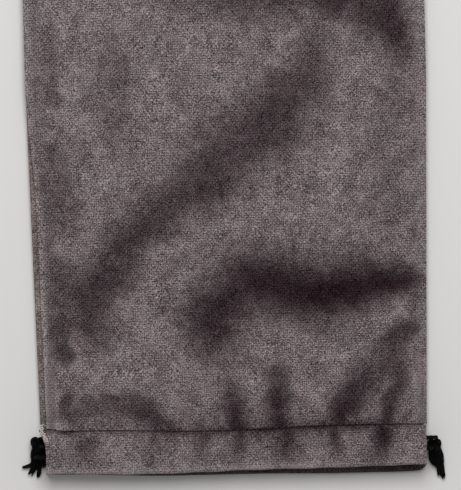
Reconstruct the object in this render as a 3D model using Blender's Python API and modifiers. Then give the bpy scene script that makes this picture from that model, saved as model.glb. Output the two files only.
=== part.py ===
"""Fabric gift sack with two drawcords, lying on its back with its mouth towards -Y."""

import math

import bmesh
import bpy
from mathutils import Vector

for leftover in list(bpy.data.objects):
    bpy.data.objects.remove(leftover, do_unlink=True)

# Driving dimensions, in metres
SACK_LENGTH = 0.2832       # furthest mouth fold to bottom seam
SACK_WIDTH = 0.1886        # across the closed end
NECK_WIDTH = 0.1816        # across the stitch lines
CASING_WIDTH = 0.1784      # along the casings, between their open ends
CASING_DEPTH = 0.0190      # front mouth fold to stitch line, at the middle
CLOTH = 0.0011
CORD_DIAMETER = 0.0020
PLY_DIAMETER = 0.0013      # a strand of a cord end that has come apart
THREAD = 0.0006
MOUTH_GAPE = 0.0046        # between the two casings
CHANNEL_CLEARANCE = 0.0004  # between a cord and its casing
FIT_GAP = 0.0003           # between neighbouring pieces
FRONT_SETBACK = 0.0024     # middle of the front mouth fold behind the furthest corner of the back one
MOUTH_SKEW = 0.0016        # run of the back mouth fold from one end to the other
FRONT_SKEW = 0.0012        # the same of the front mouth fold, the other way
CASING_SHIFT = 0.0010      # casings to the right of the panels' middle
LAP = 0.0029               # back panel beyond the front panel at the left side
LAP_START = -0.020         # along the sack, where the lap is full
LAP_END = 0.045            # along the sack, where the lap has gone
WELT = 0.0012              # flat edge of the front panel at its side seams
EDGE_ROLL = 0.009          # side of the front panel that rolls down to the seam
NECK_ROLL = 0.005          # the same beside the casing
PILLOW = 0.045             # from the seam to where the front panel is at its highest
SHOULDER = 0.60            # share of the height that the roll itself takes
BOTTOM_ROLL = 0.024        # front panel that slopes down to the bottom seam
FOLD_DEPTH = 0.0065        # deepest that a fold of the front panel could be
LIP_HEIGHT = 0.0024        # edge of the back panel above the table
LIP_WIDTH = 0.009
CORNER_RADIUS = 0.006      # closed end's corners
SEAM_INSET = 0.0026        # seam thread from the panel's edge
ALLOWANCE_INSET = 0.0046   # seam allowance from the panel's edge
ALLOWANCE_WIDTH = 0.0060
LEFT_LANE = 0.0032         # left cord from the middle of the casing, towards the seam
RIGHT_LANE = 0.0018        # right cord from the middle of the casing, towards the mouth
KNOT_RADIUS = 0.0031
KNOT_HALF_HEIGHT = 0.0027
KNOT_REACH = 0.0041        # knot's middle from the casing's end
KNOT_CLEARANCE = 0.0001    # more room between a knot and its strands

BOTTOM_Y = SACK_LENGTH / 2
FRONT_FOLD_Y = FRONT_SETBACK - SACK_LENGTH / 2
STITCH_Y = FRONT_FOLD_Y + CASING_DEPTH
CASING_HALF = CLOTH + CORD_DIAMETER / 2 + CHANNEL_CLEARANCE
BACK_CASING_Z = CASING_HALF
FRONT_CASING_Z = 3 * CASING_HALF + MOUTH_GAPE
CROWN_Z = FRONT_CASING_Z + CASING_HALF
CASING_LEFT = CASING_SHIFT - CASING_WIDTH / 2
CASING_RIGHT = CASING_SHIFT + CASING_WIDTH / 2
LEFT_LANE_Y = FRONT_FOLD_Y + CASING_DEPTH / 2 + LEFT_LANE
RIGHT_LANE_Y = FRONT_FOLD_Y + CASING_DEPTH / 2 - RIGHT_LANE

# Folds of the front panel: places along their bottoms in millimetres, each with its depth as a share of
# FOLD_DEPTH and its half width
FOLDS = [
    [(45, 63, .42, 6.5), (42, 46, .60, 9.5), (30, 31, .73, 13), (14, 16, .71, 15), (-7, -1, .70, 14), (-21, -12, .68, 12),
     (-42, -26, .73, 11.5), (-52, -40, .71, 11.5), (-64, -59, .75, 12.5), (-67, -79, .48, 9)],
    [(90, -52, .45, 5.5), (83, -52, .78, 8), (66, -53, .91, 13.5), (42, -58, .90, 18), (18, -53, .89, 16.5),
     (1, -57, .82, 15), (-10, -72, .80, 13), (-11, -80, .64, 10.5)],
    [(85, -72, .52, 4.5), (77, -78, .64, 6), (65, -95, .60, 7), (54, -109, .88, 7.5), (49, -121, .72, 6.5)],
    [(77, -92, .58, 5.5), (74, -111, .80, 6), (71, -121, .80, 6.5)],
    [(0, -98, .25, 5.5), (2, -111, .84, 7), (3, -121, .70, 7)],
    [(23, -90, .35, 5), (21, -105, .80, 6), (22, -121, .74, 6.5)],
    [(-79, -106, .40, 4.5), (-76, -112, .62, 5.5), (-56, -109, .46, 8), (-46, -110, .70, 8), (-32, -118, .52, 7)],
    [(-80, -40, .46, 7), (-77, -64, .58, 8), (-77, -85, .58, 5)],
    [(-82, 14, .28, 5), (-80, -12, .44, 7), (-78, -24, .34, 6)],
    [(-52, 64, .12, 6), (-52, 45, .42, 8), (-55, 24, .28, 7)],
    [(58, 108, .20, 8), (62, 86, .55, 9), (69, 78, .80, 9.5), (76, 69, .82, 8.5), (86, 52, .35, 5)],
    [(70, 94, .60, 9), (79, 83, .64, 8), (84, 75, .45, 6)],
    [(-22, 87, .45, 11), (14, 84, .72, 12), (40, 82, .66, 10.5), (49, 79, .80, 7), (59, 79, .60, 5.5)],
    [(-64, 122, .18, 8), (-38, 108, .28, 9), (-12, 101, .20, 8)],
]

parts = bpy.data.collections.new("gift_sack")
bpy.context.scene.collection.children.link(parts)
cutters = bpy.data.collections.new("cutters")
bpy.context.scene.collection.children.link(cutters)


def cloth_colour(name, red, green, blue, roughness):
    material = bpy.data.materials.new(name)
    material.use_nodes = True
    shader = material.node_tree.nodes["Principled BSDF"]
    shader.inputs["Base Color"].default_value = (red, green, blue, 1)
    shader.inputs["Roughness"].default_value = roughness
    return material


def ease(t):
    t = min(max(t, 0.0), 1.0)
    return t * t * (3 - 2 * t)


def swell(t):
    return 1 - (1 - min(max(t, 0.0), 1.0)) ** 2.2


def front_fold_y(x):
    return FRONT_FOLD_Y + FRONT_SKEW * (x - CASING_SHIFT) / CASING_WIDTH


def back_fold_y(x):
    middle = -SACK_LENGTH / 2 + MOUTH_SKEW / 2
    return middle - MOUTH_SKEW * (x - CASING_SHIFT) / CASING_WIDTH


def side_x(y):
    """Half width of the sack at y, with its closed end's corners rounded."""
    half = NECK_WIDTH / 2 + (SACK_WIDTH - NECK_WIDTH) / 2 * min((y - STITCH_Y) / (LAP_END - STITCH_Y), 1)
    inside = min(BOTTOM_Y - y, CORNER_RADIUS)
    return half - CORNER_RADIUS + math.sqrt(max(CORNER_RADIUS ** 2 - (CORNER_RADIUS - inside) ** 2, 0))


def lap(y):
    return LAP * (1 - ease((y - LAP_START) / (LAP_END - LAP_START)))


def back_z(x, y):
    """Underside of the back panel: flat, with its edges raised to the seams."""
    side = min(x + side_x(y), side_x(y) - lap(y) - x)
    across = 1 - (1 - min(max(side / LIP_WIDTH, 0), 1)) ** 2
    along = 1 - (1 - min(max((BOTTOM_Y - y) / LIP_WIDTH, 0), 1)) ** 2
    neck = max(1 - (y - STITCH_Y) / LIP_WIDTH, 0) ** 2
    return LIP_HEIGHT * (1 - across * along) + (BACK_CASING_Z - CLOTH / 2) * neck * across


def fold_depth(x, y):
    """How far the front panel's folds sink below its crown."""
    x, y = x * 1000, y * 1000
    total = 0.0
    for line in FOLDS:
        deepest = 0.0
        for (ax, ay, a_depth, a_half), (bx, by, b_depth, b_half) in zip(line, line[1:]):
            span = (bx - ax) ** 2 + (by - ay) ** 2
            t = min(max(((x - ax) * (bx - ax) + (y - ay) * (by - ay)) / span, 0), 1)
            away = math.hypot(x - ax - t * (bx - ax), y - ay - t * (by - ay)) / (a_half + t * (b_half - a_half))
            deepest = max(deepest, (a_depth + t * (b_depth - a_depth)) * math.exp(-away ** 2.5))
        total += deepest ** 3
    return FOLD_DEPTH * total ** (1 / 3)


def front_z(x, y):
    """Top of the front panel: a low cushion, pinched at its edges, with its folds."""
    layers = 2 * CLOTH + FIT_GAP
    if x < 0:
        side = x + side_x(y) - lap(y)
        edge_z = back_z(-side_x(y) + lap(y), y) + layers
    else:
        side = side_x(y) - x
        edge_z = LIP_HEIGHT + layers - 0.4 * max(lap(y) - side, 0)
    beyond = y - STITCH_Y
    away = ease(beyond / 0.060)
    roll = ease((side - WELT * away) / (NECK_ROLL + (EDGE_ROLL - NECK_ROLL) * away))
    share = 1 - (1 - SHOULDER) * away
    neck_z = FRONT_CASING_Z + CLOTH / 2
    crown = neck_z + (CROWN_Z - neck_z) * ease(beyond / 0.010)
    rise = (share * roll + (1 - share) * ease(side / PILLOW)) * swell((BOTTOM_Y - y) / BOTTOM_ROLL)
    sink = ease((side - LAP) / EDGE_ROLL) * ease(beyond / 0.016) * ease((BOTTOM_Y - y) / BOTTOM_ROLL)
    return edge_z + (crown - edge_z) * rise - fold_depth(x, y) * sink


def spread(t, share):
    """Grid places from 0 to 1, closer together towards both ends."""
    return (1 - share) * t + share * (1 - math.cos(math.pi * t)) / 2


def sheet(name, columns, rows, place, thickness, material, faces_up):
    """A flat cut of cloth laid to shape, thickened away from its outer side."""
    mesh = bpy.data.meshes.new(name)
    bm = bmesh.new()
    bmesh.ops.create_grid(bm, x_segments=columns, y_segments=rows, size=1)
    for vert in bm.verts:
        vert.co = place((vert.co.x + 1) / 2, (vert.co.y + 1) / 2)
    if not faces_up:
        bmesh.ops.reverse_faces(bm, faces=bm.faces[:])
    bm.to_mesh(mesh)
    bm.free()
    obj = bpy.data.objects.new(name, mesh)
    parts.objects.link(obj)
    mesh.materials.append(material)
    solid = obj.modifiers.new("cloth", "SOLIDIFY")
    solid.thickness = thickness
    solid.offset = -1
    return obj


def flat_bar(name, middle_z, fold_y, wall, half_length, collection):
    """A solid along X with the rounded flat section of a casing, set in by a wall."""
    mesh = bpy.data.meshes.new(name)
    bm = bmesh.new()
    bmesh.ops.create_cone(bm, cap_ends=True, segments=28, radius1=1, radius2=1, depth=2)
    for vert in bm.verts:
        cos, sin = vert.co.x, vert.co.y
        x = CASING_SHIFT + vert.co.z * half_length
        low, high = fold_y(x) + wall, STITCH_Y - wall
        y = (low + high) / 2 + math.copysign(abs(cos) ** (2 / 3), cos) * (high - low) / 2
        z = middle_z + math.copysign(abs(sin) ** (2 / 3), sin) * (CASING_HALF - wall)
        vert.co = (x, y, z)
    bm.to_mesh(mesh)
    bm.free()
    obj = bpy.data.objects.new(name, mesh)
    collection.objects.link(obj)
    return obj


def casing(name, middle_z, fold_y, material):
    """A flat tube of cloth along X, open at both ends."""
    tube = flat_bar(name, middle_z, fold_y, 0, CASING_WIDTH / 2, parts)
    tube.data.materials.append(material)
    channel = flat_bar(name + "_channel", middle_z, fold_y, CLOTH, CASING_WIDTH * 0.55, cutters)
    channel.hide_render = True
    channel.display_type = "WIRE"
    cut = tube.modifiers.new("channel", "BOOLEAN")
    cut.operation = "DIFFERENCE"
    cut.solver = "EXACT"
    cut.object = channel


def strand(name, points, diameter, material, sides=2):
    """A round cord or thread along its points."""
    curve = bpy.data.curves.new(name, "CURVE")
    curve.dimensions = "3D"
    curve.bevel_depth = diameter / 2
    curve.bevel_resolution = sides
    curve.use_fill_caps = True
    spline = curve.splines.new("POLY")
    spline.points.add(len(points) - 1)
    for point, co in zip(spline.points, points):
        point.co = (*co, 1)
    obj = bpy.data.objects.new(name, curve)
    parts.objects.link(obj)
    curve.materials.append(material)
    return obj


def bow(start, leave, end, arrive, steps):
    """Points of a smooth bend from start to end, with the directions it leaves and arrives in."""
    points = []
    for i in range(steps + 1):
        t = i / steps
        points.append(start * (2 * t ** 3 - 3 * t ** 2 + 1) + leave * (t ** 3 - 2 * t ** 2 + t)
                      + end * (3 * t ** 2 - 2 * t ** 3) + arrive * (t ** 3 - t ** 2))
    return points


# Cloth panels
melange = cloth_colour("front cloth", 0.115, 0.094, 0.098, 0.95)
shade = cloth_colour("back cloth", 0.090, 0.072, 0.070, 0.95)


def front_place(u, v):
    y = STITCH_Y + spread(v, 0.35) * (BOTTOM_Y - STITCH_Y)
    u = spread(u, 0.45)
    x = (lap(y) - side_x(y)) * (1 - u) + side_x(y) * u
    y += FIT_GAP * (1 - ease(v / 0.15))
    return Vector((x, y, front_z(x, y)))


def back_place(u, v):
    y = STITCH_Y + spread(v, 0.6) * (BOTTOM_Y - STITCH_Y)
    u = spread(u, 0.75)
    x = -side_x(y) * (1 - u) + (side_x(y) - lap(y)) * u
    y += FIT_GAP * (1 - ease(v / 0.15))
    return Vector((x, y, back_z(x, y)))


sheet("front_panel", 38, 52, front_place, CLOTH, melange, True)
sheet("back_panel", 20, 24, back_place, CLOTH, shade, False)

# Casings, with the cords' channels inside
hem = cloth_colour("front hem", 0.120, 0.099, 0.103, 0.95)
back_hem = cloth_colour("back hem", 0.086, 0.069, 0.068, 0.95)
casing("front_casing", FRONT_CASING_Z, front_fold_y, hem)
casing("back_casing", BACK_CASING_Z, back_fold_y, back_hem)

# Seam allowances, turned inside and lying on the back panel
allowance = cloth_colour("seam allowance", 0.105, 0.086, 0.090, 0.95)
ALLOWANCE_END = BOTTOM_Y - BOTTOM_ROLL / 2 - ALLOWANCE_INSET
ALLOWANCE_START = STITCH_Y + LIP_WIDTH


def side_allowance(sign):
    def place(u, v):
        y = ALLOWANCE_START + (ALLOWANCE_END - ALLOWANCE_START) * v
        if sign < 0:
            x = lap(y) - side_x(y) + ALLOWANCE_INSET + u * ALLOWANCE_WIDTH
        else:
            x = side_x(y) - lap(y) - ALLOWANCE_INSET - (1 - u) * ALLOWANCE_WIDTH
        return Vector((x, y, back_z(x, y) + CLOTH + FIT_GAP))
    return place


def bottom_allowance(u, v):
    y = BOTTOM_Y - ALLOWANCE_INSET - (1 - v) * ALLOWANCE_WIDTH
    x = (2 * u - 1) * (SACK_WIDTH / 2 - BOTTOM_ROLL)
    return Vector((x, y, back_z(x, y) + CLOTH + FIT_GAP))


sheet("left_seam_allowance", 3, 24, side_allowance(-1), 2 * CLOTH, allowance, False)
sheet("right_seam_allowance", 3, 24, side_allowance(1), 2 * CLOTH, allowance, False)
sheet("bottom_seam_allowance", 12, 3, bottom_allowance, 2 * CLOTH, allowance, False)

# Sewing thread
grey_thread = cloth_colour("grey thread", 0.060, 0.050, 0.052, 0.80)
cream_thread = cloth_colour("cream thread", 0.620, 0.560, 0.480, 0.80)


def casing_row(z):
    reach = (CASING_WIDTH - NECK_ROLL) / 2
    points = []
    for i in range(13):
        x = CASING_SHIFT + reach * (i / 6 - 1)
        points.append((x, STITCH_Y + FIT_GAP + THREAD / 2, z))
    return points


LIFT = CLOTH / 2 + FIT_GAP + THREAD / 2
strand("front_casing_stitching", casing_row(FRONT_CASING_Z + LIFT), THREAD, grey_thread, 1)
strand("back_casing_stitching", casing_row(BACK_CASING_Z - LIFT), THREAD, grey_thread, 1)


def seam_row(sign):
    points = []
    for i in range(25):
        y = ALLOWANCE_START + (ALLOWANCE_END - ALLOWANCE_START) * i / 24
        if sign < 0:
            x = lap(y) - side_x(y) + SEAM_INSET
        else:
            x = side_x(y) - lap(y) - SEAM_INSET
        points.append((x, y, back_z(x, y) + CLOTH + FIT_GAP + THREAD / 2))
    return points


strand("left_seam_stitching", seam_row(-1), THREAD, grey_thread, 1)
strand("right_seam_stitching", seam_row(1), THREAD, grey_thread, 1)
bottom_reach = SACK_WIDTH / 2 - BOTTOM_ROLL
bottom_row_y = BOTTOM_Y - SEAM_INSET
bottom_row_z = back_z(0, bottom_row_y) + CLOTH + FIT_GAP + THREAD / 2
strand("bottom_seam_stitching", [(-bottom_reach, bottom_row_y, bottom_row_z),
                                 (bottom_reach, bottom_row_y, bottom_row_z)], THREAD, grey_thread, 1)


def overcast(end_x, inward, middle_z):
    """Slanting stitches over the end of a casing, lying along its upper face."""
    points = []
    for i in range(11):
        back = CASING_DEPTH * (0.02 + 0.028 * i)
        height = CASING_HALF * (1 - (1 - 2 * back / CASING_DEPTH) ** 3) ** (1 / 3)
        x = end_x + inward * (0.0020 if i % 2 else 0.0004)
        points.append((x, STITCH_Y - back, middle_z + height + FIT_GAP + THREAD / 2))
    return points


strand("left_slit_overcast", overcast(CASING_LEFT, 1, FRONT_CASING_Z), THREAD, cream_thread, 1)
strand("right_slit_overcast", overcast(CASING_RIGHT, -1, BACK_CASING_Z), THREAD, cream_thread, 1)

# Drawcords: each goes out through one casing, bends at the far end and comes back through the other
black_cord = cloth_colour("black cord", 0.010, 0.010, 0.011, 0.70)
black_knot = cloth_colour("black knot", 0.009, 0.009, 0.010, 0.70)
black_tail = cloth_colour("black tail", 0.012, 0.012, 0.013, 0.70)
LEFT_KNOT = Vector((CASING_LEFT - KNOT_REACH, LEFT_LANE_Y, KNOT_HALF_HEIGHT + FIT_GAP))
RIGHT_KNOT = Vector((CASING_RIGHT + KNOT_REACH, RIGHT_LANE_Y, KNOT_HALF_HEIGHT + FIT_GAP))


def knot_seat(knot, direction):
    """Place just off the knot's surface where a strand that runs in this direction begins."""
    n = direction.normalized()
    scaled = Vector((KNOT_RADIUS ** 2 * n.x, KNOT_RADIUS ** 2 * n.y, KNOT_HALF_HEIGHT ** 2 * n.z))
    length = math.sqrt(scaled.dot(n))
    return knot + scaled / length + n * (FIT_GAP + KNOT_CLEARANCE)


def drawcord(name, knot, lane_y, near_x, far_x):
    way = 1 if far_x > near_x else -1
    upper = Vector((near_x - way * 0.0004, lane_y, FRONT_CASING_Z))
    lower = Vector((near_x - way * 0.0002, lane_y, BACK_CASING_Z))
    over = Vector((way * 0.35, 0, 1)).normalized()
    along = Vector((way, 0, 0))
    points = bow(knot_seat(knot, over), over * 0.006, upper, along * 0.005, 8)
    middle_z = (FRONT_CASING_Z + BACK_CASING_Z) / 2
    radius = (FRONT_CASING_Z - BACK_CASING_Z) / 2
    for i in range(13):
        angle = math.pi * i / 12
        points.append(Vector((far_x + way * radius * math.sin(angle), lane_y,
                              middle_z + radius * math.cos(angle))))
    seat = Vector((knot_seat(knot, along).x, lane_y, BACK_CASING_Z))
    points += bow(lower, -along * 0.001, seat, -along * 0.001, 2)
    strand(name, points, CORD_DIAMETER, black_cord)


drawcord("left_drawcord", LEFT_KNOT, LEFT_LANE_Y, CASING_LEFT, CASING_RIGHT)
drawcord("right_drawcord", RIGHT_KNOT, RIGHT_LANE_Y, CASING_RIGHT, CASING_LEFT)


def knot(name, middle):
    mesh = bpy.data.meshes.new(name)
    bm = bmesh.new()
    bmesh.ops.create_uvsphere(bm, u_segments=16, v_segments=10, radius=1)
    for vert in bm.verts:
        vert.co = (middle.x + vert.co.x * KNOT_RADIUS, middle.y + vert.co.y * KNOT_RADIUS,
                   middle.z + vert.co.z * KNOT_HALF_HEIGHT)
    bm.to_mesh(mesh)
    bm.free()
    obj = bpy.data.objects.new(name, mesh)
    parts.objects.link(obj)
    mesh.materials.append(black_knot)


knot("left_knot", LEFT_KNOT)
knot("right_knot", RIGHT_KNOT)


def tail(name, middle, heading, tip, lead, diameter):
    """A cord end from the knot to its tip on the table."""
    angle = math.radians(heading)
    away = Vector((math.cos(angle), math.sin(angle), -0.6)).normalized()
    start = knot_seat(middle, away)
    end = Vector((middle.x + tip[0], middle.y + tip[1], diameter / 2 + FIT_GAP))
    finish = (end - start) * 0.9 + Vector((lead, 0, 0))
    finish.z = 0
    leave = Vector((1.2 * away.x, -1, away.z)).normalized()
    strand(name, bow(start, leave * 0.006, end, finish, 8), diameter, black_tail)


tail("left_tail_1", LEFT_KNOT, 196, (-0.0076, -0.0094), -0.006, PLY_DIAMETER)
tail("left_tail_2", LEFT_KNOT, 232, (-0.0042, -0.0128), -0.003, PLY_DIAMETER)
tail("left_tail_3", LEFT_KNOT, 261, (-0.0006, -0.0142), 0.000, PLY_DIAMETER)
tail("left_tail_4", LEFT_KNOT, 291, (0.0018, -0.0112), 0.000, PLY_DIAMETER)
tail("right_tail_1", RIGHT_KNOT, 243, (0.0014, -0.0138), 0.000, CORD_DIAMETER)
tail("right_tail_2", RIGHT_KNOT, 307, (0.0042, -0.0151), 0.0005, CORD_DIAMETER)
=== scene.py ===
import math

import bmesh
import bpy
import numpy as np
from mathutils import Matrix, Vector


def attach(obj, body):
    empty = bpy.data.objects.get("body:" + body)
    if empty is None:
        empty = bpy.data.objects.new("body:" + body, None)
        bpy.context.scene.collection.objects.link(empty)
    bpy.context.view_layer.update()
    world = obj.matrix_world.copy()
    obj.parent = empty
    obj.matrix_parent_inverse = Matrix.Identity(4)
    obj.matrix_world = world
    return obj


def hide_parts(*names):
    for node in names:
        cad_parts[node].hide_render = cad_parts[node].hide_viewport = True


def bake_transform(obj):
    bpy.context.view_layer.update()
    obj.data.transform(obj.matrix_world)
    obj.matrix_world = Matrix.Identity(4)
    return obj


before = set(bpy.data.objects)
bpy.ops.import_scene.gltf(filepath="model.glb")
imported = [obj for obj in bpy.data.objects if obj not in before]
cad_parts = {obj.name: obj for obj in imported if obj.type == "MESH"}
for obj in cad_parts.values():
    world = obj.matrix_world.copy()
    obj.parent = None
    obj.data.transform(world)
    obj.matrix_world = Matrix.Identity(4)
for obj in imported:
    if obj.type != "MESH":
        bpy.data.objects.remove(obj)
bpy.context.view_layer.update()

# Back panel. One cut of brushed melange cloth, woven from dark, middle and pale fibres, lying face down
# on the table. Its side and bottom edges lift to the seams, and its left edge is rolled to the front.
SACK_LENGTH, SACK_WIDTH, NECK_WIDTH = 0.2832, 0.1886, 0.1816
CASING_WIDTH, CASING_DEPTH, CASING_SHIFT = 0.1784, 0.0190, 0.0010
CLOTH, GAP = 0.0011, 0.0003
LAP, LAP_START, LAP_END = 0.0029, -0.020, 0.045
LIP_HEIGHT, LIP_WIDTH, CORNER = 0.0024, 0.009, 0.006
BOTTOM_Y = SACK_LENGTH / 2
BACK_SHOWS = 0.0024  # of the back casing, below the front one
FRONT_FOLD_Y = BACK_SHOWS - SACK_LENGTH / 2
NECK_Y = FRONT_FOLD_Y + CASING_DEPTH
CASING_HALF = 0.0025  # half of its height
BACK_CASING_Z = CASING_HALF
CASING_LEFT, CASING_RIGHT = CASING_SHIFT - CASING_WIDTH / 2, CASING_SHIFT + CASING_WIDTH / 2
RIB_PITCH, YARN_PITCH = 0.001157, 0.001018
SOFT_EDGE, CUT_ANGLE, SMOOTH_ANGLE = 0.00035, math.radians(60), math.radians(50)
MEETS = 0.0006  # the two halves of a piece meet this near the sack's middle
MOUTH_Z = 0.007  # half way up the mouth
SEAM_SHARE = 0.15  # of a panel's length, which follows the wave of its casing's seam


class Dye:
    """A value in a material's nodes, so that its maths can be written as an expression."""

    def __init__(self, socket):
        self.socket = socket

    @staticmethod
    def node(tree, kind, settings, inputs, output=0):
        """One output of a new node with these settings and these values or links."""
        made = tree.nodes.new(kind)
        for name, value in settings.items():
            if name == "stops":
                ramp = made.color_ramp.elements
                while len(ramp) < len(value):
                    ramp.new(0.5)
                for stop, (place, colour) in zip(ramp, value):
                    stop.position = place
                    stop.color = (*colour, 1)
            else:
                setattr(made, name, value)
        for name, value in inputs.items():
            if isinstance(value, Dye):
                tree.links.new(value.socket, made.inputs[name])
            else:
                made.inputs[name].default_value = value
        return Dye(made.outputs[output])

    def maths(self, operation, first, second=0.0):
        """The result of one operation, in the same node tree."""
        return Dye.node(self.socket.id_data, "ShaderNodeMath", {"operation": operation},
                        {0: first, 1: second})

    def __add__(self, other):
        return self.maths("ADD", self, other)

    __radd__ = __add__

    def __sub__(self, other):
        return self.maths("SUBTRACT", self, other)

    def __rsub__(self, other):
        return self.maths("SUBTRACT", other, self)

    def __mul__(self, other):
        return self.maths("MULTIPLY", self, other)

    __rmul__ = __mul__

    def wave(self):
        """The sine of the value."""
        return self.maths("SINE", self)


def new_finish(name):
    """An empty material, its node tree, its shader and its Object coordinates."""
    material = bpy.data.materials.new(name)
    material.use_nodes = True
    tree = material.node_tree
    place = Dye.node(tree, "ShaderNodeTexCoord", {}, {}, "Object")
    return material, tree, tree.nodes["Principled BSDF"], place


def noise(tree, place, scale, detail, roughness=0.5):
    """Noise with about this many specks to a metre."""
    return Dye.node(tree, "ShaderNodeTexNoise", {},
                    {"Vector": place, "Scale": scale, "Detail": detail, "Roughness": roughness})


def tinted(tree, share, colour, tint):
    """A colour multiplied by a tint, by a share from 0 to 1."""
    return Dye.node(tree, "ShaderNodeMix", {"data_type": "RGBA", "blend_type": "MULTIPLY"},
                    {0: share, 6: colour, 7: tint}, 2)


COOL_TINT, WARM_TINT = (0.985, 1.0, 0.985), (1.0, 0.97, 0.99)


def melange(name, dark, middle, pale, painted_shade_tint):
    """Brushed melange cloth. Two attributes paint light onto it: a painted highlight, paler where an
    edge catches the light, and painted shade, which leads the colour to a shade tint in creases and
    hollows."""
    material, tree, shader, place = new_finish(name)
    fleck = noise(tree, place, 2000.0, 1.0, 0.6)
    clump = noise(tree, place, 260.0, 2.0)
    cloud = noise(tree, place, 95.0, 3.0)
    stain = noise(tree, place, 70.0, 2.0)
    x = Dye.node(tree, "ShaderNodeSeparateXYZ", {}, {"Vector": place}, "X")
    y = Dye.node(tree, "ShaderNodeSeparateXYZ", {}, {"Vector": place}, "Y")
    across = x * (math.pi / YARN_PITCH) + cloud * 4.0
    along = y * (math.pi / RIB_PITCH) + clump * 1.5
    weave = ((along * 2.0).wave() * 0.6 + (across * 2.0).wave() * 0.4
             + across.wave() * along.wave() * 0.6)
    # Painted highlight: paler where an edge catches the light
    painted_lit_edge = Dye.node(tree, "ShaderNodeAttribute", {"attribute_name": "rubbed"}, {}, "Fac")
    grain = fleck + (clump - 0.5) * 0.18 + (cloud - 0.5) * 0.22 + weave * 0.06 + painted_lit_edge * 0.14
    spun = Dye.node(tree, "ShaderNodeValToRGB",
                    {"stops": [(0.32, dark), (0.50, middle), (0.70, pale)]}, {0: grain})
    warmth = Dye.node(tree, "ShaderNodeValToRGB",
                      {"stops": [(0.38, COOL_TINT), (0.62, WARM_TINT)]}, {0: stain})
    # Painted shade: the colour is multiplied by the shade tint, by the share that a point is painted
    # dark
    sunk_and_painted_dark = Dye.node(tree, "ShaderNodeAttribute", {"attribute_name": "hollow"}, {}, "Fac")
    shaded = tinted(tree, sunk_and_painted_dark, tinted(tree, 1.0, spun, warmth), (*painted_shade_tint, 1))
    tree.links.new(shaded.socket, shader.inputs["Base Color"])
    bump = Dye.node(tree, "ShaderNodeBump", {}, {"Strength": 0.5, "Distance": 0.00035,
                                                "Height": fleck * 0.7 + weave * 0.3})
    tree.links.new(bump.socket, shader.inputs["Normal"])
    shader.inputs["Roughness"].default_value = 0.95
    shader.inputs["Specular IOR Level"].default_value = 0.03
    return material


BACK_FIBRES = (0.034, 0.026, 0.025), (0.140, 0.112, 0.107), (0.365, 0.307, 0.290)
# Painted shade: the tint that folds, creases and the seam are multiplied by
PAINTED_CREASE_SHADE = (0.045, 0.004, 0.024)
back_cloth = melange("back cloth", *BACK_FIBRES, PAINTED_CREASE_SHADE)


def ease(t):
    """A smooth step from 0 to 1."""
    t = np.clip(t, 0, 1)
    return t * t * (3 - 2 * t)


def stitch_y(x):
    """Where the seam of the casings lies."""
    return NECK_Y - 0.0007 * np.cos(48.3 * (x + 0.010)) + 0.0012 * ease((-0.078 - x) / 0.011)


def side_x(y):
    """How far the sack's side is from its middle, with a rounded corner at the closed end."""
    widening = np.minimum((y - NECK_Y) / (LAP_END - NECK_Y), 1)
    half = NECK_WIDTH / 2 + (SACK_WIDTH - NECK_WIDTH) / 2 * widening
    inside = np.clip(BOTTOM_Y - y, 0, CORNER)
    return half - CORNER + np.sqrt(np.maximum(CORNER ** 2 - (CORNER - inside) ** 2, 0))


def lap(y):
    """How far the back panel's left edge is rolled to the front."""
    return LAP * (1 - ease((y - LAP_START) / (LAP_END - LAP_START)))


def back_z(x, y):
    """How high the back panel's underside lies, which lifts at its edges and up to its casing."""
    side = np.minimum(x + side_x(y), side_x(y) - lap(y) - x)
    across = 1 - (1 - np.clip(side / LIP_WIDTH, 0, 1)) ** 2
    along = 1 - (1 - np.clip((BOTTOM_Y - y) / LIP_WIDTH, 0, 1)) ** 2
    neck = np.maximum(1 - (y - stitch_y(x)) / LIP_WIDTH, 0) ** 2
    return LIP_HEIGHT * (1 - across * along) + (BACK_CASING_Z - CLOTH / 2) * neck * across


def closer(t, share):
    """Places from 0 to 1 that lie closer together towards both ends."""
    return (1 - share) * t + share * (1 - np.cos(np.pi * t)) / 2


def mark(piece, name, values):
    """Keep a value from 0 to 1 at each of a piece's points, for its finish."""
    kept = np.clip(values, 0, 1).astype(np.float32)
    piece.data.attributes.new(name, "FLOAT", "POINT").data.foreach_set("value", kept)


def cut_grid(name, columns, rows):
    """A new flat grid, and where its points lie across and along it, from -1 to 1."""
    bpy.ops.object.select_all(action="DESELECT")
    bpy.ops.mesh.primitive_grid_add(x_subdivisions=columns, y_subdivisions=rows, size=2)
    piece = bpy.context.object
    piece.name = piece.data.name = name
    points = np.empty(len(piece.data.vertices) * 3)
    piece.data.vertices.foreach_get("co", points)
    return piece, points[0::3], points[1::3]


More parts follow.
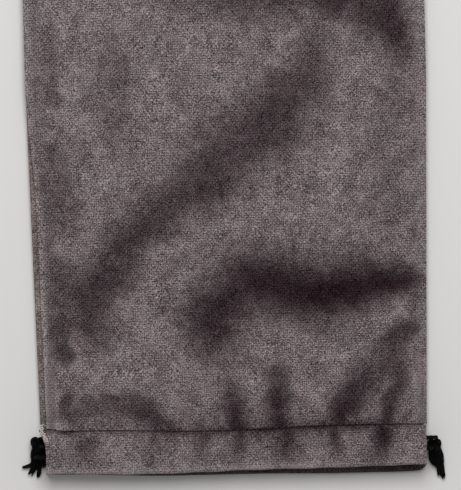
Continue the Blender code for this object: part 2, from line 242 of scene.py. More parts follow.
def lay_cloth(name, columns, rows, place, thickness, finish, face_up):
    """A grid of cloth, laid by place(u, v), given its thickness and soft edges."""
    piece, across, along = cut_grid(name, columns, rows)
    # place gives each point its painted shade and painted highlight, from 0 to 1, as well as its place
    laid, hollow, rubbed = place((across + 1) / 2, (along + 1) / 2)
    piece.data.vertices.foreach_set("co", np.column_stack(laid).ravel())
    mark(piece, "hollow", hollow)
    mark(piece, "rubbed", rubbed)
    if not face_up:
        bpy.ops.object.mode_set(mode="EDIT")
        bpy.ops.mesh.select_all(action="SELECT")
        bpy.ops.mesh.flip_normals()
        bpy.ops.object.mode_set(mode="OBJECT")
    thick = piece.modifiers.new("cloth", "SOLIDIFY")
    thick.thickness, thick.offset = thickness, -1
    bpy.ops.object.modifier_apply(modifier=thick.name)
    cut = bmesh.new()
    cut.from_mesh(piece.data)
    weight = cut.edges.layers.float.new("bevel_weight_edge")
    for edge in cut.edges:
        apart = max(abs(corner.co.x) for corner in edge.verts)
        if edge.calc_face_angle(0) > CUT_ANGLE and apart > MEETS:
            edge[weight] = 1
    cut.to_mesh(piece.data)
    cut.free()
    soft = piece.modifiers.new("soft edge", "BEVEL")
    soft.width, soft.segments, soft.limit_method = SOFT_EDGE, 2, "WEIGHT"
    bpy.ops.object.modifier_apply(modifier=soft.name)
    bpy.ops.object.shade_smooth_by_angle(angle=SMOOTH_ANGLE)
    piece.data.materials.append(finish)
    return piece


def gathers(piece, side):
    """Pulling a cord draws the far half of the mouth to it. Here only the piece's placing is baked into
    its mesh: the line towards the mouth's corner is worked out, but nothing follows it yet."""
    slant = Vector((side * SACK_LENGTH, -SACK_WIDTH / 2, 0)).normalized()
    start = Vector((0, -SACK_LENGTH / 2, MOUTH_Z))
    end = start + slant * abs(slant.x * (CASING_LEFT if side < 0 else CASING_RIGHT))
    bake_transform(piece)


def back_half(side):
    """How one half of the back panel is laid, from the middle to its side edge."""
    def place(u, v):
        y = NECK_Y + closer(v, 0.5) * (BOTTOM_Y - NECK_Y)
        u = closer(u, 0.6)
        x = -side_x(y) * (1 - u) if side < 0 else (side_x(y) - lap(y)) * u
        y = y + (stitch_y(x) + GAP - NECK_Y) * (1 - ease(v / SEAM_SHARE))
        return (x, y, back_z(x, y)), 0 * x, 0 * x
    return place


HALVES = {"left": -1, "right": 1}
for hand, side in HALVES.items():
    half = lay_cloth("back_panel_" + hand, 36, 96, back_half(side), CLOTH, back_cloth, False)
    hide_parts("back_panel")
    gathers(half, side)

# Front panel. The same cloth, lying loosely over the back one and sewn to it along the sides and the
# closed end. Its side edges roll down to the seams, and long soft folds cross it.
MOUTH_GAPE = 0.0046
FRONT_CASING_Z = 3 * CASING_HALF + MOUTH_GAPE
CROWN_Z = FRONT_CASING_Z + CASING_HALF
WELT, EDGE_ROLL, NECK_ROLL, PILLOW, BOTTOM_ROLL = 0.0012, 0.009, 0.005, 0.045, 0.024
NECK_REACH = 0.060  # how far from the casing its flatness still tells
FOLD_DEPTH = 0.0065
MILLIMETRE = 0.001
front_cloth = melange("front cloth", (0.025, 0.020, 0.022), (0.129, 0.103, 0.108),
                      (0.381, 0.329, 0.330), PAINTED_CREASE_SHADE)
# Each fold is a line of places along x and y in millimetres, with its depth there, from 0 to 1, and
# its half width in millimetres. The depth both sinks the cloth and paints shade into the fold
FOLDS = [
    [(45, 61, .29, 5.9), (40, 60, .43, 8.2), (42, 48, .57, 10.3), (36, 38, .63, 14.3),
     (27, 33, .74, 15.6), (21, 21, .72, 18), (13, 17, .69, 17.5), (3, 12, .68, 17.1),
     (-2, 5, .64, 17.1), (-9, -3, .69, 18), (-13, -7, .72, 15.6), (-21, -11, .69, 12.1),
     (-29, -16, .64, 10.2), (-36, -24, .67, 12.4), (-42, -27, .74, 11.8), (-49, -33, .71, 10.4),
     (-51, -41, .69, 11.3), (-54, -46, .69, 13), (-60, -51, .76, 13.2), (-66, -58, .73, 11.7),
     (-67, -70, .69, 9.4), (-63, -78, .54, 8.1)],
    [(90, -52, .73, 5.6), (83, -54, .87, 7.1), (76, -54, .91, 10.1), (67, -53, .91, 12.1),
     (52, -57, .92, 15.4), (40, -58, .93, 18), (30, -55, .90, 16.4), (16, -54, .90, 15.7),
     (8, -49, .83, 14.9), (4, -58, .83, 15.7), (-11, -67, .83, 14.7), (-7, -74, .82, 12.7),
     (-12, -84, .57, 10)],
    [(85, -74, .73, 4), (80, -78, .69, 5.8), (74, -89, .63, 7.5), (65, -97, .61, 8),
     (61, -101, .75, 7.7), (57, -108, .85, 7.4), (49, -114, .89, 6.2), (49, -121, .88, 6.1)],
    [(77, -92, .52, 5.2), (78, -101, .71, 5.4), (74, -111, .79, 5), (71, -121, .85, 5.2)],
    [(-1, -101, .43, 4.8), (0, -106, .67, 5), (1, -111, .85, 6.1), (3, -121, .93, 7)],
    [(23, -94, .42, 3.7), (21, -99, .65, 6.2), (21, -104, .77, 5.6), (20, -113, .84, 5.9),
     (23, -121, .89, 6.6)],
    [(-78, -107, .65, 3.5), (-77, -113, .64, 4.5), (-68, -109, .55, 5.1), (-56, -109, .61, 5.5),
     (-47, -111, .74, 6.7), (-40, -112, .74, 6.8), (-31, -120, .68, 6.5)],
    [(-81, -42, .43, 5.8), (-78, -50, .54, 7.8), (-80, -64, .54, 7.3), (-81, -75, .55, 5.5),
     (-77, -86, .71, 3.9)],
    [(-81, 11, .45, 3.8), (-80, 2, .47, 6.3), (-80, -12, .40, 7.9), (-77, -20, .38, 10)],
    [(-82, 67, .25, 3), (-84, 51, .37, 3), (-81, 37, .39, 4.2)],
    [(-54, 62, .25, 3.9), (-50, 50, .33, 7.1), (-55, 45, .34, 9.9), (-54, 20, .31, 8.7)],
    [(58, 108, .20, 8), (59, 96, .35, 9), (62, 86, .55, 11.7), (66, 75, .70, 13.1),
     (74, 72, .83, 11.2), (81, 62, .77, 8.8), (81, 52, .57, 6.8)],
    [(70, 94, .60, 9), (78, 83, .59, 7.3), (80, 73, .58, 5.3)],
    [(-24, 89, .41, 12.1), (-6, 87, .51, 13.8), (13, 82, .59, 15), (26, 82, .63, 14.1),
     (41, 88, .70, 10.8), (53, 77, .81, 7.9), (58, 80, .79, 5.3)],
    [(-64, 122, .18, 8), (-38, 108, .28, 9), (-12, 101, .20, 8)],
    [(81, 37, .38, 6.9), (76, 24, .26, 8.6), (76, 2, .23, 9.6), (72, -22, .26, 10.5)],
]


def fold_depth(x, y):
    """How deep the folds are at x and y, from 0 to 1."""
    x, y = x * 1000, y * 1000
    x, y = (x + 0.9 * np.sin(0.21 * y + 0.08 * x) + 0.6 * np.sin(0.47 * y - 0.33 * x + 1.0),
            y + 0.9 * np.sin(0.19 * x - 0.11 * y + 2.0) + 0.6 * np.sin(0.43 * x + 0.37 * y))
    total = np.zeros(len(x))
    for line in FOLDS:
        deepest = np.zeros(len(x))
        for (ax, ay, a_depth, a_half), (bx, by, b_depth, b_half) in zip(line, line[1:]):
            span = (bx - ax) ** 2 + (by - ay) ** 2
            t = np.clip(((x - ax) * (bx - ax) + (y - ay) * (by - ay)) / span, 0, 1)
            half = a_half + t * (b_half - a_half)
            depth = a_depth + t * (b_depth - a_depth)
            away = np.hypot(x - ax - t * (bx - ax), y - ay - t * (by - ay)) / half
            deepest = np.maximum(deepest, depth * np.exp(-away ** 2.5))
        total += deepest ** 3
    return total ** (1 / 3)


def shade(table, x):
    """What a table of (place in millimetres, value) gives at x."""
    places, values = zip(*table)
    return np.interp(x * 1000, places, values)


# Painted shade beside the casing's seam, along x, and a painted highlight where the side edges catch
# the light, along y
NECK_PAINTED_SHADE = [(-84, 0), (-74, .4), (-62, .3), (-50, .2), (-38, .15), (-26, .4), (-14, .72), (60, .72),
              (84, .5)]
EDGE_PAINTED_HIGHLIGHT = {"left": [(-110, 1), (-95, .9), (-75, .22), (-45, .35), (-15, .2), (15, .25), (45, .2),
                        (65, .05)],
               "right": [(-110, .65), (-95, .5), (-75, .2), (-45, .25), (-15, .1), (15, .05), (45, .25),
                         (65, .3)]}


def front_half(side):
    """How one half of the front panel is laid: it rolls up from its edge, and folds and a little slack
    shape it. Its folds and the cloth beside the seam get painted shade, and its side edges a painted
    highlight."""
    def place(u, v):
        y = NECK_Y + closer(v, 0.6) * (BOTTOM_Y - NECK_Y)
        u = closer(u, 0.5)
        x = (lap(y) - side_x(y)) * (1 - u) if side < 0 else side_x(y) * u
        y = y + (stitch_y(x) + GAP - NECK_Y) * (1 - ease(v / SEAM_SHARE))
        layers = 2 * CLOTH + GAP
        if side < 0:
            inward = x + side_x(y) - lap(y)
            edge_z = back_z(-side_x(y) + lap(y), y) + layers
        else:
            inward = side_x(y) - x
            edge_z = LIP_HEIGHT + layers - 0.4 * np.maximum(lap(y) - inward, 0)
        beyond = y - stitch_y(x)
        away = ease(beyond / NECK_REACH)
        roll = ease((inward - WELT * away) / (NECK_ROLL + (EDGE_ROLL - NECK_ROLL) * away))
        neck_z = FRONT_CASING_Z + CLOTH / 2
        crown = neck_z + (CROWN_Z - neck_z) * ease(beyond / 0.010)
        rise = (1 - 0.4 * away) * roll + 0.4 * away * ease(inward / PILLOW)
        rise = rise * (1 - (1 - np.clip((BOTTOM_Y - y) / BOTTOM_ROLL, 0, 1)) ** 2.2)
        level = ease(inward / 0.012) * ease((BOTTOM_Y - y) / BOTTOM_ROLL)
        sunk_and_painted_dark = fold_depth(x, y)
        slack = (0.30 * np.sin(150 * x + 64 * y + 1.0) * np.sin(104 * y - 31 * x + 0.6)
                 + 0.20 * np.sin(96 * x - 218 * y + 2.1) * np.sin(71 * x + 88 * y + 0.4))
        slack = slack * ease(beyond / 0.02)
        pucker = (0.25 * np.sin(740 * x + 1.3 * np.sin(126 * x))
                  * np.exp(-np.maximum(beyond - 0.001, 0) / 0.006))
        sink = (ease((inward - LAP) / EDGE_ROLL) * ease(beyond / 0.016)
                * ease((BOTTOM_Y - y) / BOTTOM_ROLL))
        z = (edge_z + (crown - edge_z) * rise - FOLD_DEPTH * sunk_and_painted_dark * sink
             + (slack * level + pucker * ease(beyond / 0.003)) * MILLIMETRE)
        # Painted shade beside the seam and in the folds
        painted_seam_shade = shade(NECK_PAINTED_SHADE, x) * np.exp(-np.maximum(beyond, 0) / 0.0045)
        # Painted highlight where the side edge catches the light
        if side < 0:
            rubbed = shade(EDGE_PAINTED_HIGHLIGHT["left"], y) * np.exp(-(inward / (0.0050 - 0.0028 * away)) ** 2)
        else:
            rubbed = shade(EDGE_PAINTED_HIGHLIGHT["right"], y) * np.exp(-((inward - 0.0036) / 0.0022) ** 2)
        return (x, y, z), np.maximum(sunk_and_painted_dark, painted_seam_shade) * ease(inward / 0.004), rubbed
    return place


for hand, side in HALVES.items():
    half = lay_cloth("front_panel_" + hand, 76, 200, front_half(side), CLOTH, front_cloth, True)
    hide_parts("front_panel")
    gathers(half, side)

# Casings. The mouth's edge of each panel is turned in and sewn down, which leaves a flat channel open
# at both ends. Soft dents run across the front one, where the cords have drawn it in.
# The back hem is the back cloth in painted shadow: wherever it is painted dark, it is multiplied by
# this tint
DEEP_SHADOW = (0.335, 0.315, 0.350)
front_hem = melange("front hem", (0.024, 0.019, 0.021), (0.122, 0.098, 0.102),
                    (0.370, 0.319, 0.320), PAINTED_CREASE_SHADE)
back_hem = melange("back hem", *BACK_FIBRES, DEEP_SHADOW)
# Each dent: its place along the casing at the seam, its depth from 0 to 1, its half width, how far
# below the seam it is deepest, how far it reaches from there and how far it moves aside for each step
# down, in millimetres. The depth both sinks the casing and paints shade into the dent
DENTS = [(-80.5, .72, 7.5, .8, 1, 0), (-70.7, .62, 7.6, 7.5, 8.5, .03), (-37.4, .48, 5.5, 3, 14, -.04),
         (-12.5, .70, 5.3, 1, 14, -.31), (3.2, .85, 5, 1, 11.5, -.06), (25.5, .83, 7.6, 3, 13, -.05),
         (46.5, .84, 4.2, 2, 15, .15), (70.1, .90, 5.8, 5, 14, -.07)]
# Painted shade on the casing at its seam, how far down that reaches, and a painted highlight where its
# folded edge catches the light, along x
CASING_PAINTED_SHADE = [(-86, .6), (-76, 1), (-66, .53), (-50, .53), (-34, .8), (-18, .78), (-2, .88),
                (14, .96), (62, .97), (74, .88), (86, .25)]
PAINTED_SHADE_REACH = [(-76, 2.2), (-60, 2.2), (-30, 3.1), (30, 5.5), (80, 2)]
FOLD_PAINTED_HIGHLIGHT = [(-84, 1), (-60, 1), (-40, .9), (-20, .8), (-2, 1), (12, 1), (28, 1), (45, .9), (62, .35),
               (78, .8)]
AROUND, STATIONS = 44, 64  # the mesh's steps round a casing and along half of it
OVAL = 2 / 3  # the power that makes its section fuller than an ellipse


def front_fold_y(x):
    """Where the front casing's folded edge lies."""
    return (-0.1397 - 0.0006 * ease((x + 0.085) / 0.03) + 0.0012 * ease((x + 0.045) / 0.12)
            + 0.0002 * np.cos(75 * (x - 0.006)) + 0.00012 * np.sin(310 * x + 1))


def back_fold_y(x):
    """Where the back casing's folded edge lies, with a rounded right corner."""
    corner = np.clip((x - CASING_RIGHT) / 0.004 + 1, 0, 1) ** 2
    return (-0.1399 - 0.0018 * ease((x + 0.087) / 0.06) - 0.0006 * ease((x - 0.01) / 0.04)
            + 0.0004 * ease((x - 0.078) / 0.012) + 0.0026 * corner)


def flare(across):
    """How far the front casing's left end runs out towards its seam."""
    return 0.0032 * np.clip((across - 0.2) / 0.8, 0, 1) ** 1.2


def casing_half(name, side, middle_z, fold_y, puff, finish):
    """A flat tube from the sack's middle to one end, made as a grid wrapped round both ways: out along
    its outside and back along its inside."""
    piece, run_out, turn = cut_grid(name, 2 * STATIONS, AROUND)
    run = np.clip(1 - np.abs(run_out), 0, 1)
    inner = (run_out > 1e-6) & (run_out < 0.999)
    wall = np.where(inner, CLOTH, 0.0)
    cos, sin = np.cos(turn * np.pi), np.sin(turn * np.pi)
    across = np.sign(cos) * np.abs(cos) ** OVAL
    x = (CASING_LEFT - flare(across) * puff if side < 0 else CASING_RIGHT) * closer(run, 0.3)
    low, high = fold_y(x) + wall, stitch_y(x) - wall
    up = np.sign(sin) * np.abs(sin) ** OVAL
    y = (low + high) / 2 + across * (high - low) / 2
    down = (stitch_y(x) - y) * 1000
    dent = sum(depth * np.exp(-((x * 1000 - at - lean * down) / half) ** 2
                              - ((down - deepest) / reach) ** 2)
               for at, depth, half, deepest, reach, lean in DENTS)
    face = np.where(inner, 0.0, ease((up + 0.15) / 0.15))
    loose = np.where(inner, 0.0, np.maximum(up, 0) * puff)
    ripple = 0.12 * np.sin(820 * x + 1.1 * np.sin(140 * x)) + 0.10 * np.sin(410 * x + 0.8)
    z = middle_z + up * (CASING_HALF - wall) + loose * (0.6 - 1.3 * dent + ripple) * MILLIMETRE
    piece.data.vertices.foreach_set("co", np.column_stack((x, y, z)).ravel())
    # On the front casing's upper face: painted shade at the dents and along the seam, and a painted
    # highlight along the folded edge
    if puff:
        painted_seam_shade = shade(CASING_PAINTED_SHADE, x) * np.exp(-down / shade(PAINTED_SHADE_REACH, x))
        rubbed = shade(FOLD_PAINTED_HIGHLIGHT, x) * np.exp(-((y - fold_y(x)) / 0.0030) ** 2)
        mark(piece, "hollow", face * np.maximum(dent, painted_seam_shade))
        mark(piece, "rubbed", face * rubbed)
    else:
        # The back casing is painted in shadow inside and all round its outside, but for its underside
        mark(piece, "hollow", np.where(inner, 1.0, ease((up + 1.0) / 0.5)))
    bpy.ops.object.mode_set(mode="EDIT")
    bpy.ops.mesh.select_all(action="SELECT")
    bpy.ops.mesh.remove_doubles(threshold=1e-6)
    bpy.ops.mesh.normals_make_consistent(inside=False)
    bpy.ops.object.mode_set(mode="OBJECT")
    bpy.ops.object.shade_smooth_by_angle(angle=SMOOTH_ANGLE)
    piece.data.materials.append(finish)
    return piece


# Unfolded, a casing is as wide as the way round its tube
for node, middle_z, fold_y, puff, finish, slot, unfolded in [
        ("front_casing", FRONT_CASING_Z, front_fold_y, 1, front_hem, "front_hem", 0.041),
        ("back_casing", BACK_CASING_Z, back_fold_y, 0, back_hem, "back_hem", 0.044)]:
    for hand, side in HALVES.items():
        half = casing_half(f"{node}_{hand}", side, middle_z, fold_y, puff, finish)
        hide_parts(node)
        gathers(half, side)

# Seam allowances. The sewn edges of both panels, two layers thick, turned inside and lying flat on the
# back panel along its sides and its closed end.
ALLOWANCE_INSET, ALLOWANCE_WIDTH, SEAM_INSET, FRAY = 0.0046, 0.0060, 0.0026, 0.00025
ALLOWANCE_START = NECK_Y + LIP_WIDTH
ALLOWANCE_END = BOTTOM_Y - BOTTOM_ROLL / 2 - ALLOWANCE_INSET
allowance_cloth = melange("seam allowance", (0.030, 0.024, 0.027), (0.122, 0.100, 0.103),
                          (0.300, 0.258, 0.258), PAINTED_CREASE_SHADE)


def side_allowance(side):
    """How the allowance along one side is laid, with a slightly uneven cut edge."""
    def place(u, v):
        y = ALLOWANCE_START + (ALLOWANCE_END - ALLOWANCE_START) * v
        fray = FRAY * np.sin(900 * y) * np.sin(233 * y + 1)
        if side < 0:
            x = lap(y) - side_x(y) + ALLOWANCE_INSET + u * (ALLOWANCE_WIDTH + fray)
        else:
            x = side_x(y) - lap(y) - ALLOWANCE_INSET - (1 - u) * (ALLOWANCE_WIDTH + fray)
        return (x, y, back_z(x, y) + CLOTH + GAP), 0 * x, 0 * x
    return place


def bottom_allowance(u, v):
    """How the allowance along the closed end is laid."""
    x = (2 * u - 1) * (SACK_WIDTH / 2 - BOTTOM_ROLL)
    y = BOTTOM_Y - ALLOWANCE_INSET - (1 - v) * (ALLOWANCE_WIDTH + FRAY * np.sin(900 * x))
    return (x, y, back_z(x, y) + CLOTH + GAP), 0 * x, 0 * x


# Flat, a strip is as wide as a usual seam allowance
for hand, side in HALVES.items():
    strip = lay_cloth(hand + "_seam_turning", 6, 120, side_allowance(side), 2 * CLOTH, allowance_cloth,
                      False)
    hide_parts(hand + "_seam_allowance")
    gathers(strip, side)
strip = lay_cloth("bottom_seam_turning", 70, 6, bottom_allowance, 2 * CLOTH, allowance_cloth, False)
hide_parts("bottom_seam_allowance")
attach(strip, "sack")

# Sewing thread. Dark spun thread in a lockstitch: a row in the groove below each casing, and hidden
# rows along the sides and the closed end.
THREAD = 0.0006
STITCH_PITCH = 0.0029
STITCH_HALF = 0.46 * STITCH_PITCH
ROW_INSET = 0.0025  # from a casing's end to the first stitch
SIDE_HOLES, BOTTOM_HOLES = 82, 48  # the needle's holes along the hidden seams


def spun_finish(name, dark, pale, roughness):
    """Spun thread or yarn, with fibres that catch the light."""
    material, tree, shader, place = new_finish(name)
    fibre = noise(tree, place, 2600.0, 2.0)
    tint = Dye.node(tree, "ShaderNodeValToRGB", {"stops": [(0.35, dark), (0.72, pale)]}, {0: fibre})
    tree.links.new(tint.socket, shader.inputs["Base Color"])
    bump = Dye.node(tree, "ShaderNodeBump", {}, {"Strength": 0.5, "Distance": 0.0002, "Height": fibre})
    tree.links.new(bump.socket, shader.inputs["Normal"])
    shader.inputs["Roughness"].default_value = roughness
    shader.inputs["Specular IOR Level"].default_value = 0.04
    return material


grey_thread = spun_finish("grey thread", (0.018, 0.013, 0.013), (0.056, 0.043, 0.042), 0.8)


def sew(name, row, finish):
    """Stitches along a row of points: one is modelled, and a copy lies between each pair of points."""
    bpy.ops.object.select_all(action="DESELECT")
    bpy.ops.mesh.primitive_uv_sphere_add(segments=8, ring_count=6, radius=1)
    piece = bpy.context.object
    piece.name = piece.data.name = name
    one = piece.data.copy()
    one.transform(Matrix.Diagonal((STITCH_HALF, THREAD / 2, THREAD / 2, 1)))
    rows = bmesh.new()
    for here, there in zip(row, row[1:]):
        start = len(rows.verts)
        rows.from_mesh(one)
        rows.verts.ensure_lookup_table()
        turn = (there - here).to_track_quat("X", "Z").to_matrix().to_4x4()
        lay = Matrix.Translation((here + there) / 2) @ turn
        bmesh.ops.transform(rows, matrix=lay, verts=rows.verts[start:])
    rows.to_mesh(piece.data)
    rows.free()
    bpy.data.meshes.remove(one)
    bpy.ops.object.shade_smooth()
    piece.data.materials.append(finish)
    return piece


LIFT = CLOTH / 2 + THREAD / 4
for node, z in [("front_casing_stitching", FRONT_CASING_Z + LIFT),
                ("back_casing_stitching", BACK_CASING_Z - LIFT)]:
    for hand, side in HALVES.items():
        reach = abs(CASING_LEFT if side < 0 else CASING_RIGHT) - ROW_INSET
        xs = side * np.linspace(0.0002, reach, int(reach / STITCH_PITCH))
        row = [Vector((x, stitch_y(x) + GAP / 2, z)) for x in xs]
        half = sew(f"{node}_{hand}", row, grey_thread)
        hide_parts(node)
        gathers(half, side)
for hand, side in HALVES.items():
    row = []
    for y in np.linspace(ALLOWANCE_START, ALLOWANCE_END, SIDE_HOLES):
        x = float(lap(y) - side_x(y) + SEAM_INSET if side < 0 else side_x(y) - lap(y) - SEAM_INSET)
        row.append(Vector((x, y, float(back_z(x, y)) + CLOTH + GAP + THREAD / 2)))
    seam = sew(hand + "_seam_row", row, grey_thread)
    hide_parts(hand + "_seam_stitching")
    gathers(seam, side)
y = BOTTOM_Y - SEAM_INSET
z = float(back_z(0.0, y)) + CLOTH + GAP + THREAD / 2
reach = SACK_WIDTH / 2 - BOTTOM_ROLL
row = [Vector((x, y, z)) for x in np.linspace(-reach, reach, BOTTOM_HOLES)]
seam = sew("bottom_seam_row", row, grey_thread)
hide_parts("bottom_seam_stitching")
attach(seam, "sack")

# Slit overcasting. Loose cream thread, whipped by hand over the cut edge where the casing opens at each
# side, from just above the casing's seam to a third of the way down the opening.
WHIPS, WHIP_PITCH, WHIP_START = 10, 0.0009, -0.0024  # measured down from the seam
WHIP_LIFT = 0.0006
cream_thread = spun_finish("cream thread", (0.42, 0.37, 0.35), (0.80, 0.74, 0.70), 0.85)


def strands(name, lines, finish):
    """Round strands along these lines of (point, radius), made one mesh."""
    bpy.ops.object.select_all(action="DESELECT")
    curve = bpy.data.curves.new(name, "CURVE")
    curve.dimensions, curve.bevel_depth, curve.bevel_resolution = "3D", 1.0, 2
    curve.use_fill_caps = True
    for line in lines:
        spline = curve.splines.new("POLY")
        spline.points.add(len(line) - 1)
        for point, (at, radius) in zip(spline.points, line):
            point.co = (*at, 1)
            point.radius = radius
    piece = bpy.data.objects.new(name, curve)
    bpy.context.scene.collection.objects.link(piece)
    piece.select_set(True)
    bpy.context.view_layer.objects.active = piece
    bpy.ops.object.convert(target="MESH")
    piece = bpy.context.object
    bpy.ops.object.shade_smooth()
    piece.data.materials.append(finish)
    return piece


def through(points, count):
    """Points along a smooth curve through these points."""
    points = [Vector(p) for p in points]
    ends = [2 * points[0] - points[1]] + points + [2 * points[-1] - points[-2]]
    out = []
    for i in range(count + 1):
        at = i / count * (len(points) - 1)
        k = min(int(at), len(points) - 2)
        t = at - k
        a, b, c, d = ends[k:k + 4]
        out.append(0.5 * (2 * b + (c - a) * t + (2 * a - 5 * b + 4 * c - d) * t ** 2
                          + (3 * b - a - 3 * c + d) * t ** 3))
    return out


def overcasting(end_x, inward, middle_z, runs_out, seed):
    """Two threads that cross as they are whipped to and fro over a casing's end, on its upper face."""
    draw = np.random.default_rng(seed)
    lines = []
    for thread in range(2):
        points = []
        for i in range(WHIPS):
            back = WHIP_START + WHIP_PITCH * i + draw.uniform(-0.0002, 0.0002)
            share = max(back / CASING_DEPTH, 0.02)
            face = CASING_HALF * (1 - (1 - 2 * share) ** 3) ** (1 / 3)
            top = middle_z + face + WHIP_LIFT + THREAD * (0.5 + 0.5 * thread)
            edge = end_x - inward * runs_out * float(flare(1 - 2 * share))
            reach = draw.uniform(0.0014, 0.0023) if (i + thread) % 2 else draw.uniform(0.0001, 0.0005)
            points.append((edge + inward * reach, stitch_y(end_x) - back, top))
        lines.append([(p, THREAD * draw.uniform(0.26, 0.36)) for p in through(points, 72)])
    return lines


for hand, side, end_x, middle_z, runs_out in [("left", -1, CASING_LEFT, FRONT_CASING_Z, 1),
                                              ("right", 1, CASING_RIGHT, BACK_CASING_Z, 0)]:
    lines = overcasting(end_x, -side, middle_z, runs_out, 7 + side)
    whip = strands(hand + "_slit_whipping", lines, cream_thread)
    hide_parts(hand + "_slit_overcast")
    gathers(whip, side)

# Drawcords. Two soft black cords, three plies twisted together. Each goes in at one side, through the
# front casing, round the far end and back through the other casing to its own knot. The two ends are
# tied in a tight overhand knot, and their tails lie on the table, frayed into a brush.
CORD = 0.0020
KNOT_CORD = 1.3 * CORD
PLY, LAY = 0.27, 0.0085  # a ply's radius as a share of the cord, and the length of one turn
ROUTE_STEP, KNOT_STEP = 0.0007, 0.0005
STRANDS, STRAND = 18, 0.00033
LEFT_LANE, RIGHT_LANE = 0.0032, -0.0018
KNOT_RADIUS, KNOT_HALF_HEIGHT, KNOT_OUT, KNOT_WEAVE = 0.0031, 0.0027, 0.0041, 0.0014
LEFT_LANE_Y = FRONT_FOLD_Y + CASING_DEPTH / 2 + LEFT_LANE
RIGHT_LANE_Y = FRONT_FOLD_Y + CASING_DEPTH / 2 + RIGHT_LANE
LEFT_KNOT = Vector((CASING_LEFT - KNOT_OUT, LEFT_LANE_Y, KNOT_HALF_HEIGHT + GAP))
RIGHT_KNOT = Vector((CASING_RIGHT + KNOT_OUT, RIGHT_LANE_Y, KNOT_HALF_HEIGHT + GAP))
black_cord = spun_finish("black cord", (0.0008, 0.0008, 0.0009), (0.0075, 0.0072, 0.0075), 0.6)


def bow(start, leave, end, arrive, steps):
    """Points of a smooth bend from start to end, with the directions it leaves and arrives in."""
    points = []
    for i in range(steps + 1):
        t = i / steps
        points.append(start * (2 * t ** 3 - 3 * t ** 2 + 1) + leave * (t ** 3 - 2 * t ** 2 + t)
                      + end * (3 * t ** 2 - 2 * t ** 3) + arrive * (t ** 3 - t ** 2))
    return points


def knot_seat(knot, direction):
    """The place on a knot where a cord in this direction leaves it."""
    n = direction.normalized()
    scaled = Vector((KNOT_RADIUS ** 2 * n.x, KNOT_RADIUS ** 2 * n.y, KNOT_HALF_HEIGHT ** 2 * n.z))
    return knot + scaled / math.sqrt(scaled.dot(n)) + n * GAP


def spaced(points, step):
    """The same route with its points a step apart, and how far along it each one is."""
    route = np.array([tuple(p) for p in points])
    gone = np.concatenate(([0], np.cumsum(np.linalg.norm(np.diff(route, axis=0), axis=1))))
    at = np.linspace(0, gone[-1], max(int(gone[-1] / step), 2) + 1)
    return [Vector([np.interp(a, gone, route[:, k]) for k in range(3)]) for a in at], at


def sides_along(route):
    """Two directions square to a route at each of its points, without a twist of their own."""
    steep = abs((route[1] - route[0]).normalized().z) >= 0.9
    side = Vector((0, 1, 0)) if steep else Vector((0, 0, 1))
    pairs = []
    for i in range(len(route)):
        ahead = (route[min(i + 1, len(route) - 1)] - route[max(i - 1, 0)]).normalized()
        side = (side - ahead * side.dot(ahead)).normalized()
        pairs.append((side.copy(), ahead.cross(side)))
    return pairs


def twisted(points, diameter, step):
    """Lines of the three plies of a cord along a route."""
    route, at = spaced(points, step)
    ply = diameter * PLY
    lines = [[], [], []]
    for point, gone, (side, other) in zip(route, at, sides_along(route)):
        for k, line in enumerate(lines):
            angle = 2 * math.pi * (k / 3 + gone / LAY)
            out = side * math.cos(angle) + other * math.sin(angle)
            line.append((point + out * (diameter / 2 - ply), ply))
    return lines


def drawcord_route(knot, lane_y, near_x, far_x):
    """From a knot up into the front casing, round the far end and back through the other casing."""
    way = 1 if far_x > near_x else -1
    upper = Vector((near_x - way * 0.0004, lane_y, FRONT_CASING_Z))
    lower = Vector((near_x - way * 0.0002, lane_y, BACK_CASING_Z))
    over = Vector((way * 0.35, 0, 1)).normalized()
    along = Vector((way, 0, 0))
    points = bow(knot_seat(knot, over), over * 0.006, upper, along * 0.005, 12)
    middle_z, radius = (FRONT_CASING_Z + BACK_CASING_Z) / 2, (FRONT_CASING_Z - BACK_CASING_Z) / 2
    steps = 24
    for i in range(steps + 1):
        angle = math.pi * i / steps
        points.append(Vector((far_x + way * radius * math.sin(angle), lane_y,
                              middle_z + radius * math.cos(angle))))
    seat = Vector((knot_seat(knot, along).x, lane_y, BACK_CASING_Z))
    return points + bow(lower, -along * 0.001, seat, -along * 0.001, 2)


def overhand(middle, wide, tall):
    """The path of a tight overhand knot."""
    points = []
    steps = 60
    for i in range(steps + 1):
        t = 2 * math.pi * i / steps
        x, y = math.sin(t) + 2 * math.sin(2 * t), math.cos(t) - 2 * math.cos(2 * t)
        points.append(middle + Vector((x * wide, y * tall, -math.sin(3 * t) * KNOT_WEAVE)))
    return points


def frayed(points, first_half, last_half, seed):
    """Fine strands that lie together along a route and spread towards its tip."""
    draw = np.random.default_rng(seed)
    route, at = spaced(points, KNOT_STEP)
    frames = sides_along(route)
    lines = []
    for k in range(STRANDS):
        out, angle = math.sqrt((k + 0.5) / STRANDS), 2.4 * k + draw.uniform(-0.3, 0.3)
        lift, aside = out * math.cos(angle), out * math.sin(angle)
        sway, phase = draw.uniform(0.0001, 0.0003), draw.uniform(0, 6.3)
        ends = draw.uniform(0.84, 1.0)
        line = []
        for i in range(int(len(route) * ends)):
            t = at[i] / at[-1]
            half = first_half + (last_half - first_half) * ease((t - 0.35) / 0.5)
            flat = 1 - 0.45 * t
            point = (route[i] + frames[i][0] * (lift * first_half * flat)
                     + frames[i][1] * (aside * half + sway * math.sin(900 * at[i] + phase)))
            point.z = max(point.z, STRAND + 0.0001)
            line.append((point, STRAND * (1 - 0.5 * max(t - 0.85, 0) / 0.15)))
        lines.append(line)
    return lines


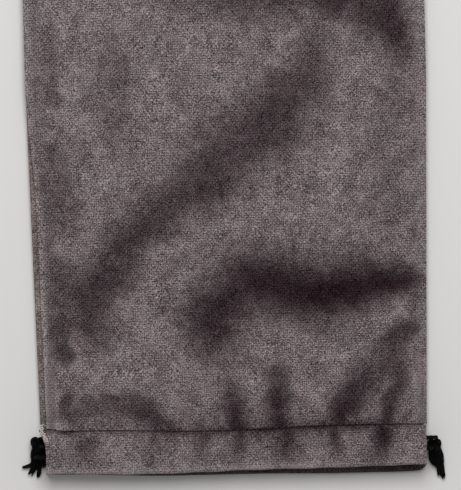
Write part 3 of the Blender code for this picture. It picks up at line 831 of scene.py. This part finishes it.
# Each tail: places along it from the knot's middle, and its half width at its start and at its tip, in
# millimetres
TAILS = {
    "left": [
        ([(-1.3, 0.6, 0.3), (-2.0, -4.2, -0.5), (-2.8, -8.2, -1.3), (-7.9, -9.8, -1.9)], 1.4, 0.45),
        ([(-0.5, 0.4, 0.4), (-1.0, -5.6, -0.7), (-2.2, -10.0, -1.2), (-4.2, -13.8, -1.6)], 1.6, 1.35),
        ([(0.5, 0.4, 0.4), (0.9, -5.8, -0.8), (0.5, -10.4, -1.4), (-0.1, -15.1, -1.8)], 1.6, 0.75),
        ([(1.2, 0.5, 0.3), (2.3, -4.4, -0.5), (2.4, -7.6, -1.2), (1.9, -10.4, -1.8)], 1.5, 1.1)],
    "right": [
        ([(-0.7, 0.7, 0.3), (-1.5, -3.4, -0.5), (-0.8, -6.0, -1.1), (1.2, -8.6, -1.5),
          (2.0, -13.8, -1.8)], 1.8, 0.8),
        ([(0.9, 0.7, 0.3), (2.0, -3.6, -0.5), (2.9, -9.2, -1.3), (4.0, -15.0, -1.8)], 1.8, 0.8)],
}
# Each knot: how far its middle is from where the cords meet, and the size of its loops across and along
KNOT = {"left": (Vector((0.0001, 0.0011, 0)), 0.00085, 0.0011),
        "right": (Vector((-0.0002, 0.0011, 0)), 0.0008, 0.0010)}
for hand, knot, lane_y, near_x, far_x in [
        ("left", LEFT_KNOT, LEFT_LANE_Y, CASING_LEFT, CASING_RIGHT),
        ("right", RIGHT_KNOT, RIGHT_LANE_Y, CASING_RIGHT, CASING_LEFT)]:
    route = drawcord_route(knot, lane_y, near_x, far_x)
    cord = strands(hand + "_cord_run", twisted(route, CORD, ROUTE_STEP), black_cord)
    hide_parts(hand + "_drawcord")
    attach(cord, hand + "_cord")
    shift, wide, tall = KNOT[hand]
    tied = overhand(knot + shift, wide, tall)
    lump = strands(hand + "_overhand", twisted(tied, KNOT_CORD, KNOT_STEP), black_cord)
    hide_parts(hand + "_knot")
    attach(lump, hand + "_cord")
    for number, (places, first_half, last_half) in enumerate(TAILS[hand], 1):
        tail = through([knot + Vector(place) * MILLIMETRE for place in places], 30)
        lines = frayed(tail, first_half * MILLIMETRE, last_half * MILLIMETRE, 10 * number + len(hand))
        end = strands(f"{hand}_end_{number}", lines, black_cord)
        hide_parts(f"{hand}_tail_{number}")
        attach(end, hand + "_tassel")

# Table and light. A plain pale table that the sack lies on, a broad soft light from above the closed
# end and an even room light, as a scanner's light leaves few shadows.
bpy.ops.object.select_all(action="DESELECT")
bpy.ops.mesh.primitive_plane_add(size=12, location=(0, 0, -0.0002))
table = bpy.context.object
table.name = "table"
table_finish, _, shader, _ = new_finish("pale table")
shader.inputs["Base Color"].default_value = (0.66, 0.645, 0.635, 1)
shader.inputs["Roughness"].default_value = 0.8
table.data.materials.append(table_finish)

lamp = bpy.data.lights.new("soft light", "AREA")
lamp.shape, lamp.size, lamp.energy = "DISK", 0.9, 12
lamp_place = bpy.data.objects.new("soft light", lamp)
bpy.context.scene.collection.objects.link(lamp_place)
lamp_place.location = (0.04, 0.48, 1.1)
aim = Vector((0, 0, 0)) - lamp_place.location
lamp_place.rotation_euler = aim.to_track_quat("-Z", "Y").to_euler()
world = bpy.data.worlds.new("room")
world.use_nodes = True
world.node_tree.nodes["Background"].inputs["Color"].default_value = (1, 1, 1, 1)
world.node_tree.nodes["Background"].inputs["Strength"].default_value = 0.37
bpy.context.scene.world = world
bpy.context.scene.view_settings.view_transform = "Standard"

# Camera. Square above the sack, as a flatbed scanner sees it, with the closed end out of the frame. The
# scan is taken as a scanner's full width, and the sack lies a little askew on it.
SCAN_WIDTH, PIXELS_ACROSS, PIXELS_DOWN, ASKEW = 0.216, 461, 490, -1.36
FRAME_HEIGHT = PIXELS_DOWN * SCAN_WIDTH / PIXELS_ACROSS
camera = bpy.data.cameras.new("camera")
camera.lens, camera.sensor_width = 600, 36
camera.clip_start, camera.clip_end = 0.05, 80
eye = bpy.data.objects.new("camera", camera)
bpy.context.scene.collection.objects.link(eye)
eye.location = (0.00056, -0.03394, CROWN_Z + camera.lens / camera.sensor_width * FRAME_HEIGHT)
eye.rotation_euler = (0, 0, math.radians(ASKEW))
bpy.context.scene.camera = eye
